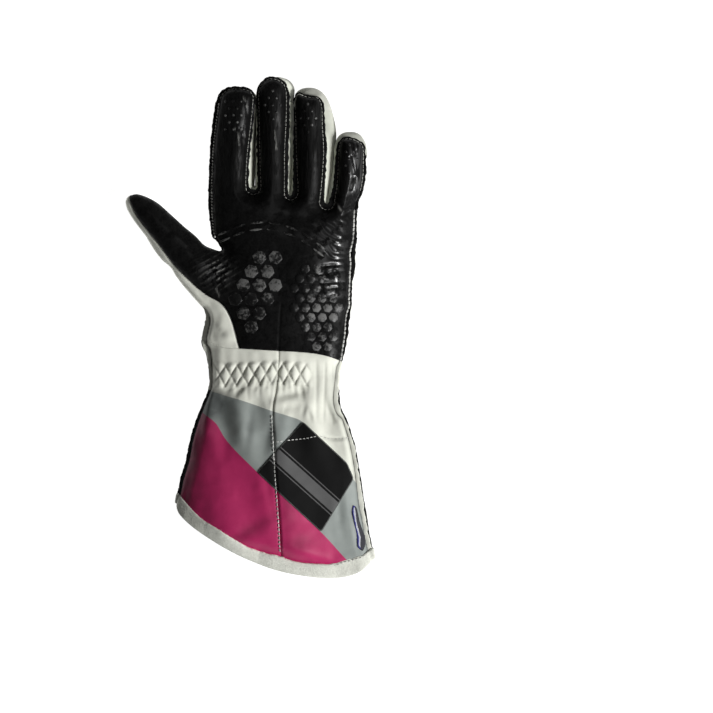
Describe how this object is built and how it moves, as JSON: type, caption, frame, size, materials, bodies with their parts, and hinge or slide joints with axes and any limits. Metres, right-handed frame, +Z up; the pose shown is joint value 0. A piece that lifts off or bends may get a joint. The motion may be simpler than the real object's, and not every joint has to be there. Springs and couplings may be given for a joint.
{
  "type": "racing glove",
  "caption": "Left-hand gauntlet racing glove, palm up: black leather palm with printed grip, white back, smocked wrist, flared printed cuff with a label and bound hem.",
  "frame": {"origin": "middle of the underside of the whole glove's box, on the surface it lies on", "axes": "+Y from the cuff to the fingertips, +Z up out of the palm, thumb towards -X"},
  "size_m": [0.176, 0.347, 0.0361],
  "materials": {
    "black_leather": "soft black leather with a printed grip",
    "white_leather": "white suede leather",
    "strip_leather": "white suede leather strip",
    "printed_leather": "white suede printed magenta and grey",
    "hem_suede": "white suede binding",
    "label_cloth": "black woven patch with a grey band",
    "tag_cloth": "small woven tag"
  },
  "bodies": {
    "root": {"palm_leather": "black_leather", "thumb_panel": "white_leather", "back_leather": "white_leather", "fourchette_index_middle": "strip_leather", "fourchette_middle_ring": "strip_leather", "fourchette_ring_little": "strip_leather", "gauntlet_thumb_side": "printed_leather", "gauntlet_little_side": "printed_leather", "gauntlet_back": "white_leather", "hem_binding": "hem_suede", "label_patch": "label_cloth", "seam_tag": "tag_cloth"}
  },
  "joints": []
}
